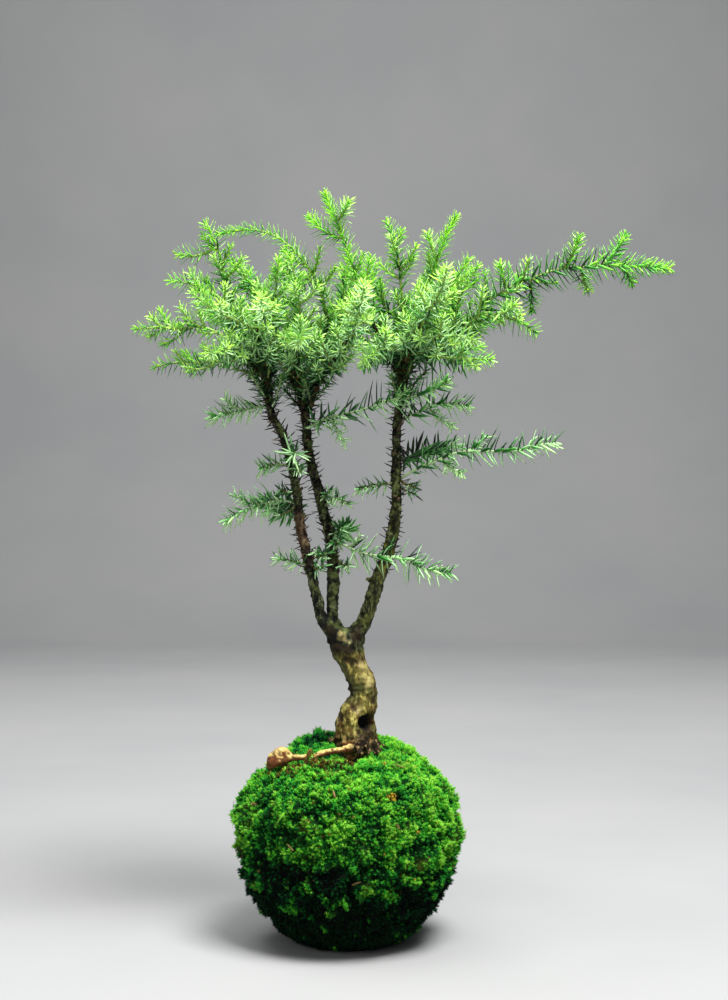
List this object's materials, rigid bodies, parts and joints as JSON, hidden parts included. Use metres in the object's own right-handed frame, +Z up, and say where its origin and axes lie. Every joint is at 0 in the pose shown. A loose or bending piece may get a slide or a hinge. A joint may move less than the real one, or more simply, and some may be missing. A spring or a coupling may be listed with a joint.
{
  "type": "kokedama moss ball plant",
  "caption": "Needle juniper with forked stems and whorled needle sprays, growing from a moss-covered soil ball that rests on a flat spot.",
  "frame": {"origin": "centre of the flat spot under the moss ball, where it rests", "axes": "+Z up; +X towards the long side shoot, the right of the front view; +Y to the back of the plant"},
  "size_m": [0.2577, 0.141, 0.3569],
  "materials": {
    "bark": "rough weathered bark, tan on the trunk and dark brown on the stems, with lichen",
    "soil": "dark damp packed soil",
    "moss": "dense matt feathery moss, bright green on top and dark in its hollows",
    "needles": "waxy green needles with a pale stripe, yellow-green at the young tips"
  },
  "bodies": {
    "root": {"moss_cover": "moss", "soil_ball": "soil", "spray_arch": "needles", "spray_back_inner": "needles", "spray_back_left": "needles", "spray_back_left_low": "needles", "spray_back_left_up": "needles", "spray_back_middle": "needles", "spray_back_middle_left": "needles", "spray_back_middle_up": "needles", "spray_back_right": "needles", "spray_back_right_low": "needles", "spray_back_right_up": "needles", "spray_front_bud": "needles", "spray_front_clump": "needles", "spray_front_inner": "needles", "spray_front_left": "needles", "spray_front_left_low": "needles", "spray_front_middle": "needles", "spray_front_right": "needles", "spray_front_right_low": "needles", "spray_front_upper_left": "needles", "spray_front_upper_middle": "needles", "spray_front_upper_right": "needles", "spray_left_inner": "needles", "spray_left_low": "needles", "spray_left_lowest": "needles", "spray_left_second": "needles", "spray_left_stem_back": "needles", "spray_left_stem_long": "needles", "spray_left_stem_lowest": "needles", "spray_left_stem_small": "needles", "spray_left_stem_star": "needles", "spray_left_stem_upper": "needles", "spray_left_up": "needles", "spray_left_vertical": "needles", "spray_long_right": "needles", "spray_lower_right": "needles", "spray_middle_stem_back": "needles", "spray_middle_stem_lower": "needles", "spray_middle_stem_small": "needles", "spray_middle_stem_upper": "needles", "spray_right_inner": "needles", "spray_right_low": "needles", "spray_right_stem_back": "needles", "spray_right_stem_long": "needles", "spray_right_stem_small": "needles", "spray_right_stem_upper": "needles", "spray_small_right": "needles", "spray_top": "needles", "spray_top_left": "needles", "spray_top_middle": "needles", "spray_top_right": "needles", "spray_upper_left": "needles", "spray_upper_middle": "needles", "spray_upper_right": "needles", "spray_upper_right_back": "needles", "trunk": "bark"}
  },
  "joints": []
}
